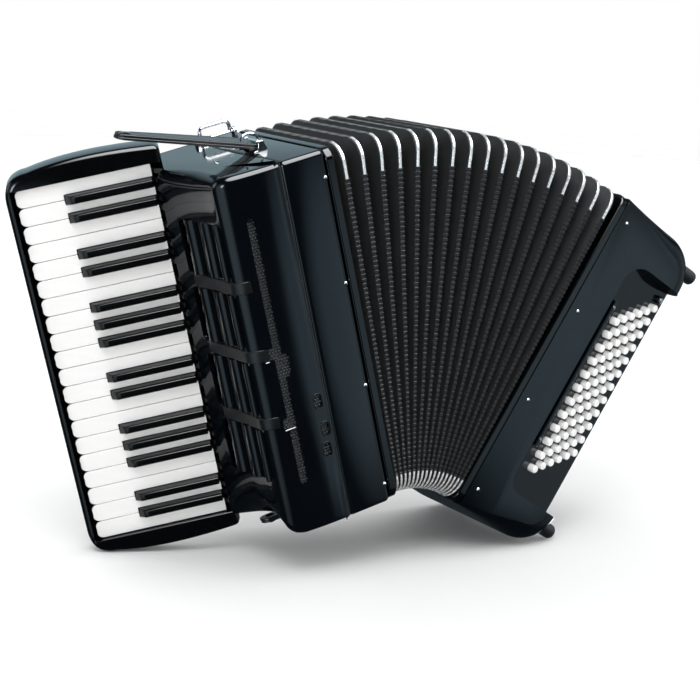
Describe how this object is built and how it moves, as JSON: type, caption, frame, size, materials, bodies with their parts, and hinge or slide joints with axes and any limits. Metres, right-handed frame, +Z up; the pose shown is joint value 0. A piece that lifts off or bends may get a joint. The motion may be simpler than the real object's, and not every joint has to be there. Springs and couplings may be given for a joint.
{
  "type": "piano accordion",
  "caption": "Piano accordion with a hinged keyboard, a sloped grille cover, fanned bellows and a bass section with a recessed button panel and feet.",
  "frame": {"origin": "on the floor under the middle of the instrument's box", "axes": "+Z up; -Y is the front the buttons and grille face; the keyboard is at -X and the bass section at +X"},
  "size_m": [0.741, 0.2018, 0.4448],
  "materials": {
    "gloss_black": "gloss",
    "frame_black": "gloss",
    "key_white": "gloss",
    "key_black": "gloss",
    "button_white": "gloss",
    "grille_metal": "brushed",
    "steel": "polished",
    "chrome": "polished",
    "reed_wood": "raw",
    "bellows_cloth": "woven",
    "strap_leather": "satin",
    "rubber_black": "matte"
  },
  "bodies": {
    "treble_section": {"treble_casing": "gloss_black", "keyboard_frame": "frame_black", "grille_cover": "gloss_black", "grille_mesh": "grille_metal", "key_axle": "steel", "treble_reed_blocks": "reed_wood", "treble_fittings": "chrome", "bellows_frame_treble": "gloss_black", "bellows_folds": "bellows_cloth", "bellows_corners": "chrome"},
    "bass_section": {"bass_casing": "gloss_black", "bass_button_panel": "gloss_black", "bass_feet": "rubber_black", "bass_fittings": "chrome", "hand_strap": "strap_leather", "bellows_frame_bass": "gloss_black"},
    "strap_top": {"bellows_strap_top": "strap_leather"},
    "strap_bottom": {"bellows_strap_bottom": "strap_leather"},
    "ring": {"strap_ring": "chrome"},
    "air_valve_button": {"air_button": "chrome"},
    "row_1": {"bass_buttons_row_1": "button_white"},
    "row_2": {"bass_buttons_row_2": "button_white"},
    "row_3": {"bass_buttons_row_3": "button_white"},
    "row_4": {"bass_buttons_row_4": "button_white"},
    "row_5": {"bass_buttons_row_5": "button_white"},
    "row_6": {"bass_buttons_row_6": "button_white"},
    "white_01_key": {"key_white_01": "key_white"},
    "white_02_key": {"key_white_02": "key_white"},
    "white_03_key": {"key_white_03": "key_white"},
    "white_04_key": {"key_white_04": "key_white"},
    "white_05_key": {"key_white_05": "key_white"},
    "white_06_key": {"key_white_06": "key_white"},
    "white_07_key": {"key_white_07": "key_white"},
    "white_08_key": {"key_white_08": "key_white"},
    "white_09_key": {"key_white_09": "key_white"},
    "white_10_key": {"key_white_10": "key_white"},
    "white_11_key": {"key_white_11": "key_white"},
    "white_12_key": {"key_white_12": "key_white"},
    "white_13_key": {"key_white_13": "key_white"},
    "white_14_key": {"key_white_14": "key_white"},
    "white_15_key": {"key_white_15": "key_white"},
    "white_16_key": {"key_white_16": "key_white"},
    "white_17_key": {"key_white_17": "key_white"},
    "white_18_key": {"key_white_18": "key_white"},
    "white_19_key": {"key_white_19": "key_white"},
    "white_20_key": {"key_white_20": "key_white"},
    "black_01_key": {"key_black_01": "key_black"},
    "black_02_key": {"key_black_02": "key_black"},
    "black_03_key": {"key_black_03": "key_black"},
    "black_04_key": {"key_black_04": "key_black"},
    "black_05_key": {"key_black_05": "key_black"},
    "black_06_key": {"key_black_06": "key_black"},
    "black_07_key": {"key_black_07": "key_black"},
    "black_08_key": {"key_black_08": "key_black"},
    "black_09_key": {"key_black_09": "key_black"},
    "black_10_key": {"key_black_10": "key_black"},
    "black_11_key": {"key_black_11": "key_black"},
    "black_12_key": {"key_black_12": "key_black"},
    "black_13_key": {"key_black_13": "key_black"},
    "black_14_key": {"key_black_14": "key_black"}
  },
  "joints": [
    {"name": "bellows_fan", "type": "hinge", "parent": "treble_section", "child": "bass_section", "pos_m": [0.02094, -0.0053, 0.07355], "axis": [0, 1, 0], "range_deg": [-46.8, 6], "deforming": ["bellows_folds", "bellows_corners"]},
    {"name": "bellows_strap_top_swing", "type": "hinge", "parent": "treble_section", "child": "strap_top", "pos_m": [-0.14604, -0.0173, 0.42724], "axis": [0, 1, 0], "range_deg": [0, 130]},
    {"name": "bellows_strap_bottom_swing", "type": "hinge", "parent": "treble_section", "child": "strap_bottom", "pos_m": [-0.03297, -0.0173, 0.06192], "axis": [0, -1, 0], "range_deg": [0, 130]},
    {"name": "strap_ring_swing", "type": "hinge", "parent": "treble_section", "child": "ring", "pos_m": [-0.14336, 0.0727, 0.42484], "axis": [0.9681, 0, 0.2504], "range_deg": [-75, 75]},
    {"name": "air_button_press", "type": "slide", "parent": "bass_section", "child": "air_valve_button", "axis": [-0.2387, 0.9593, 0.1509], "range_m": [0, 0.004], "stiffness_N_per_m": 200, "springref_m": -0.004},
    {"name": "bass_row_1_press", "type": "slide", "parent": "bass_section", "child": "row_1", "axis": [-0.2387, 0.9593, 0.1509], "range_m": [0, 0.0035], "stiffness_N_per_m": 300, "springref_m": -0.004},
    {"name": "bass_row_2_press", "type": "slide", "parent": "bass_section", "child": "row_2", "axis": [-0.2387, 0.9593, 0.1509], "range_m": [0, 0.0035], "stiffness_N_per_m": 300, "springref_m": -0.004},
    {"name": "bass_row_3_press", "type": "slide", "parent": "bass_section", "child": "row_3", "axis": [-0.2387, 0.9593, 0.1509], "range_m": [0, 0.0035], "stiffness_N_per_m": 300, "springref_m": -0.004},
    {"name": "bass_row_4_press", "type": "slide", "parent": "bass_section", "child": "row_4", "axis": [-0.2387, 0.9593, 0.1509], "range_m": [0, 0.0035], "stiffness_N_per_m": 300, "springref_m": -0.004},
    {"name": "bass_row_5_press", "type": "slide", "parent": "bass_section", "child": "row_5", "axis": [-0.2387, 0.9593, 0.1509], "range_m": [0, 0.0035], "stiffness_N_per_m": 300, "springref_m": -0.004},
    {"name": "bass_row_6_press", "type": "slide", "parent": "bass_section", "child": "row_6", "axis": [-0.2387, 0.9593, 0.1509], "range_m": [0, 0.0035], "stiffness_N_per_m": 300, "springref_m": -0.004},
    {"name": "key_white_01_press", "type": "hinge", "parent": "treble_section", "child": "white_01_key", "pos_m": [-0.19288, 0.03125, 0.22508], "axis": [0.2504, 0, -0.9681], "range_deg": [0, 2], "stiffness_Nm_per_rad": 0.6, "springref_deg": -14.32},
    {"name": "key_white_02_press", "type": "hinge", "parent": "treble_section", "child": "white_02_key", "pos_m": [-0.19288, 0.03125, 0.22508], "axis": [0.2504, 0, -0.9681], "range_deg": [0, 2], "stiffness_Nm_per_rad": 0.6, "springref_deg": -14.32},
    {"name": "key_white_03_press", "type": "hinge", "parent": "treble_section", "child": "white_03_key", "pos_m": [-0.19288, 0.03125, 0.22508], "axis": [0.2504, 0, -0.9681], "range_deg": [0, 2], "stiffness_Nm_per_rad": 0.6, "springref_deg": -14.32},
    {"name": "key_white_04_press", "type": "hinge", "parent": "treble_section", "child": "white_04_key", "pos_m": [-0.19288, 0.03125, 0.22508], "axis": [0.2504, 0, -0.9681], "range_deg": [0, 2], "stiffness_Nm_per_rad": 0.6, "springref_deg": -14.32},
    {"name": "key_white_05_press", "type": "hinge", "parent": "treble_section", "child": "white_05_key", "pos_m": [-0.19288, 0.03125, 0.22508], "axis": [0.2504, 0, -0.9681], "range_deg": [0, 2], "stiffness_Nm_per_rad": 0.6, "springref_deg": -14.32},
    {"name": "key_white_06_press", "type": "hinge", "parent": "treble_section", "child": "white_06_key", "pos_m": [-0.19288, 0.03125, 0.22508], "axis": [0.2504, 0, -0.9681], "range_deg": [0, 2], "stiffness_Nm_per_rad": 0.6, "springref_deg": -14.32},
    {"name": "key_white_07_press", "type": "hinge", "parent": "treble_section", "child": "white_07_key", "pos_m": [-0.19288, 0.03125, 0.22508], "axis": [0.2504, 0, -0.9681], "range_deg": [0, 2], "stiffness_Nm_per_rad": 0.6, "springref_deg": -14.32},
    {"name": "key_white_08_press", "type": "hinge", "parent": "treble_section", "child": "white_08_key", "pos_m": [-0.19288, 0.03125, 0.22508], "axis": [0.2504, 0, -0.9681], "range_deg": [0, 2], "stiffness_Nm_per_rad": 0.6, "springref_deg": -14.32},
    {"name": "key_white_09_press", "type": "hinge", "parent": "treble_section", "child": "white_09_key", "pos_m": [-0.19288, 0.03125, 0.22508], "axis": [0.2504, 0, -0.9681], "range_deg": [0, 2], "stiffness_Nm_per_rad": 0.6, "springref_deg": -14.32},
    {"name": "key_white_10_press", "type": "hinge", "parent": "treble_section", "child": "white_10_key", "pos_m": [-0.19288, 0.03125, 0.22508], "axis": [0.2504, 0, -0.9681], "range_deg": [0, 2], "stiffness_Nm_per_rad": 0.6, "springref_deg": -14.32},
    {"name": "key_white_11_press", "type": "hinge", "parent": "treble_section", "child": "white_11_key", "pos_m": [-0.19288, 0.03125, 0.22508], "axis": [0.2504, 0, -0.9681], "range_deg": [0, 2], "stiffness_Nm_per_rad": 0.6, "springref_deg": -14.32},
    {"name": "key_white_12_press", "type": "hinge", "parent": "treble_section", "child": "white_12_key", "pos_m": [-0.19288, 0.03125, 0.22508], "axis": [0.2504, 0, -0.9681], "range_deg": [0, 2], "stiffness_Nm_per_rad": 0.6, "springref_deg": -14.32},
    {"name": "key_white_13_press", "type": "hinge", "parent": "treble_section", "child": "white_13_key", "pos_m": [-0.19288, 0.03125, 0.22508], "axis": [0.2504, 0, -0.9681], "range_deg": [0, 2], "stiffness_Nm_per_rad": 0.6, "springref_deg": -14.32},
    {"name": "key_white_14_press", "type": "hinge", "parent": "treble_section", "child": "white_14_key", "pos_m": [-0.19288, 0.03125, 0.22508], "axis": [0.2504, 0, -0.9681], "range_deg": [0, 2], "stiffness_Nm_per_rad": 0.6, "springref_deg": -14.32},
    {"name": "key_white_15_press", "type": "hinge", "parent": "treble_section", "child": "white_15_key", "pos_m": [-0.19288, 0.03125, 0.22508], "axis": [0.2504, 0, -0.9681], "range_deg": [0, 2], "stiffness_Nm_per_rad": 0.6, "springref_deg": -14.32},
    {"name": "key_white_16_press", "type": "hinge", "parent": "treble_section", "child": "white_16_key", "pos_m": [-0.19288, 0.03125, 0.22508], "axis": [0.2504, 0, -0.9681], "range_deg": [0, 2], "stiffness_Nm_per_rad": 0.6, "springref_deg": -14.32},
    {"name": "key_white_17_press", "type": "hinge", "parent": "treble_section", "child": "white_17_key", "pos_m": [-0.19288, 0.03125, 0.22508], "axis": [0.2504, 0, -0.9681], "range_deg": [0, 2], "stiffness_Nm_per_rad": 0.6, "springref_deg": -14.32},
    {"name": "key_white_18_press", "type": "hinge", "parent": "treble_section", "child": "white_18_key", "pos_m": [-0.19288, 0.03125, 0.22508], "axis": [0.2504, 0, -0.9681], "range_deg": [0, 2], "stiffness_Nm_per_rad": 0.6, "springref_deg": -14.32},
    {"name": "key_white_19_press", "type": "hinge", "parent": "treble_section", "child": "white_19_key", "pos_m": [-0.19288, 0.03125, 0.22508], "axis": [0.2504, 0, -0.9681], "range_deg": [0, 2], "stiffness_Nm_per_rad": 0.6, "springref_deg": -14.32},
    {"name": "key_white_20_press", "type": "hinge", "parent": "treble_section", "child": "white_20_key", "pos_m": [-0.19288, 0.03125, 0.22508], "axis": [0.2504, 0, -0.9681], "range_deg": [0, 2], "stiffness_Nm_per_rad": 0.6, "springref_deg": -14.32},
    {"name": "key_black_01_press", "type": "hinge", "parent": "treble_section", "child": "black_01_key", "pos_m": [-0.19288, 0.03125, 0.22508], "axis": [0.2504, 0, -0.9681], "range_deg": [0, 2], "stiffness_Nm_per_rad": 0.6, "springref_deg": -14.32},
    {"name": "key_black_02_press", "type": "hinge", "parent": "treble_section", "child": "black_02_key", "pos_m": [-0.19288, 0.03125, 0.22508], "axis": [0.2504, 0, -0.9681], "range_deg": [0, 2], "stiffness_Nm_per_rad": 0.6, "springref_deg": -14.32},
    {"name": "key_black_03_press", "type": "hinge", "parent": "treble_section", "child": "black_03_key", "pos_m": [-0.19288, 0.03125, 0.22508], "axis": [0.2504, 0, -0.9681], "range_deg": [0, 2], "stiffness_Nm_per_rad": 0.6, "springref_deg": -14.32},
    {"name": "key_black_04_press", "type": "hinge", "parent": "treble_section", "child": "black_04_key", "pos_m": [-0.19288, 0.03125, 0.22508], "axis": [0.2504, 0, -0.9681], "range_deg": [0, 2], "stiffness_Nm_per_rad": 0.6, "springref_deg": -14.32},
    {"name": "key_black_05_press", "type": "hinge", "parent": "treble_section", "child": "black_05_key", "pos_m": [-0.19288, 0.03125, 0.22508], "axis": [0.2504, 0, -0.9681], "range_deg": [0, 2], "stiffness_Nm_per_rad": 0.6, "springref_deg": -14.32},
    {"name": "key_black_06_press", "type": "hinge", "parent": "treble_section", "child": "black_06_key", "pos_m": [-0.19288, 0.03125, 0.22508], "axis": [0.2504, 0, -0.9681], "range_deg": [0, 2], "stiffness_Nm_per_rad": 0.6, "springref_deg": -14.32},
    {"name": "key_black_07_press", "type": "hinge", "parent": "treble_section", "child": "black_07_key", "pos_m": [-0.19288, 0.03125, 0.22508], "axis": [0.2504, 0, -0.9681], "range_deg": [0, 2], "stiffness_Nm_per_rad": 0.6, "springref_deg": -14.32},
    {"name": "key_black_08_press", "type": "hinge", "parent": "treble_section", "child": "black_08_key", "pos_m": [-0.19288, 0.03125, 0.22508], "axis": [0.2504, 0, -0.9681], "range_deg": [0, 2], "stiffness_Nm_per_rad": 0.6, "springref_deg": -14.32},
    {"name": "key_black_09_press", "type": "hinge", "parent": "treble_section", "child": "black_09_key", "pos_m": [-0.19288, 0.03125, 0.22508], "axis": [0.2504, 0, -0.9681], "range_deg": [0, 2], "stiffness_Nm_per_rad": 0.6, "springref_deg": -14.32},
    {"name": "key_black_10_press", "type": "hinge", "parent": "treble_section", "child": "black_10_key", "pos_m": [-0.19288, 0.03125, 0.22508], "axis": [0.2504, 0, -0.9681], "range_deg": [0, 2], "stiffness_Nm_per_rad": 0.6, "springref_deg": -14.32},
    {"name": "key_black_11_press", "type": "hinge", "parent": "treble_section", "child": "black_11_key", "pos_m": [-0.19288, 0.03125, 0.22508], "axis": [0.2504, 0, -0.9681], "range_deg": [0, 2], "stiffness_Nm_per_rad": 0.6, "springref_deg": -14.32},
    {"name": "key_black_12_press", "type": "hinge", "parent": "treble_section", "child": "black_12_key", "pos_m": [-0.19288, 0.03125, 0.22508], "axis": [0.2504, 0, -0.9681], "range_deg": [0, 2], "stiffness_Nm_per_rad": 0.6, "springref_deg": -14.32},
    {"name": "key_black_13_press", "type": "hinge", "parent": "treble_section", "child": "black_13_key", "pos_m": [-0.19288, 0.03125, 0.22508], "axis": [0.2504, 0, -0.9681], "range_deg": [0, 2], "stiffness_Nm_per_rad": 0.6, "springref_deg": -14.32},
    {"name": "key_black_14_press", "type": "hinge", "parent": "treble_section", "child": "black_14_key", "pos_m": [-0.19288, 0.03125, 0.22508], "axis": [0.2504, 0, -0.9681], "range_deg": [0, 2], "stiffness_Nm_per_rad": 0.6, "springref_deg": -14.32}
  ]
}
